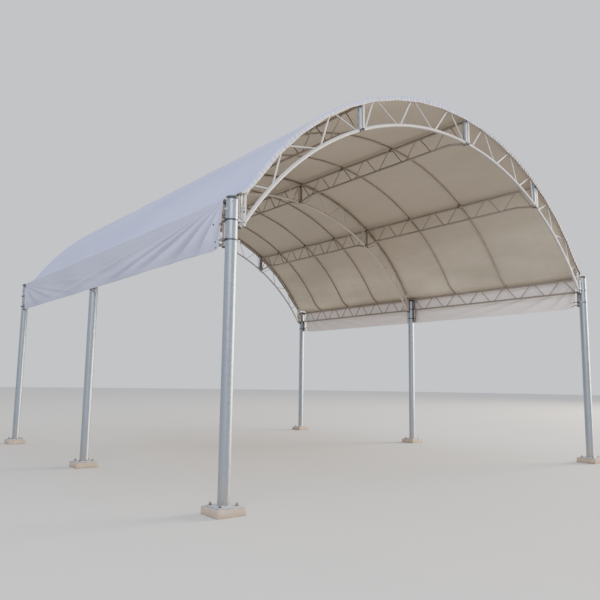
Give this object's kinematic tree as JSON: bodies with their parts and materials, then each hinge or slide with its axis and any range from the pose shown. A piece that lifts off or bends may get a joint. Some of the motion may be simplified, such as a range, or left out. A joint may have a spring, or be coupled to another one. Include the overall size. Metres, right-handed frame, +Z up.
{
  "type": "barrel-vaulted membrane canopy on steel posts",
  "caption": "Open-sided arched canopy: one white membrane over curved lattice trusses on round steel posts, each on a small concrete pad.",
  "frame": {"origin": "centre of the footprint at ground level, under the middle arch", "axes": "+Z up; +X across the span, from the left row of posts to the right one seen from the front; +Y along the ridge, from the front arch to the back one"},
  "size_m": [8.36, 9.16, 5.7908],
  "materials": {
    "concrete": "matt grey-beige cast concrete",
    "post_steel": "weathered galvanised steel",
    "truss_steel": "pale galvanised steel",
    "rib_steel": "pale galvanised steel",
    "membrane": "matt white coated fabric"
  },
  "bodies": {
    "root": {"pad_front_left": "concrete", "post_front_left": "post_steel", "pad_front_right": "concrete", "post_front_right": "post_steel", "front_arch_left_haunch": "truss_steel", "front_arch_left_crown": "truss_steel", "front_arch_right_crown": "truss_steel", "front_arch_right_haunch": "truss_steel", "pad_middle_left": "concrete", "post_middle_left": "post_steel", "pad_middle_right": "concrete", "post_middle_right": "post_steel", "middle_arch_left_haunch": "truss_steel", "middle_arch_left_crown": "truss_steel", "middle_arch_right_crown": "truss_steel", "middle_arch_right_haunch": "truss_steel", "pad_back_left": "concrete", "post_back_left": "post_steel", "pad_back_right": "concrete", "post_back_right": "post_steel", "back_arch_left_haunch": "truss_steel", "back_arch_left_crown": "truss_steel", "back_arch_right_crown": "truss_steel", "back_arch_right_haunch": "truss_steel", "left_purlin_front_bay": "truss_steel", "ridge_purlin_front_bay": "truss_steel", "right_purlin_front_bay": "truss_steel", "eave_truss_left_front_bay": "truss_steel", "eave_truss_right_front_bay": "truss_steel", "left_purlin_back_bay": "truss_steel", "ridge_purlin_back_bay": "truss_steel", "right_purlin_back_bay": "truss_steel", "eave_truss_left_back_bay": "truss_steel", "eave_truss_right_back_bay": "truss_steel", "front_bay_rib_1": "rib_steel", "front_bay_rib_2": "rib_steel", "back_bay_rib_1": "rib_steel", "back_bay_rib_2": "rib_steel", "back_bay_rib_3": "rib_steel", "roof_membrane": "membrane", "valance_left": "membrane", "valance_right": "membrane"}
  },
  "joints": []
}
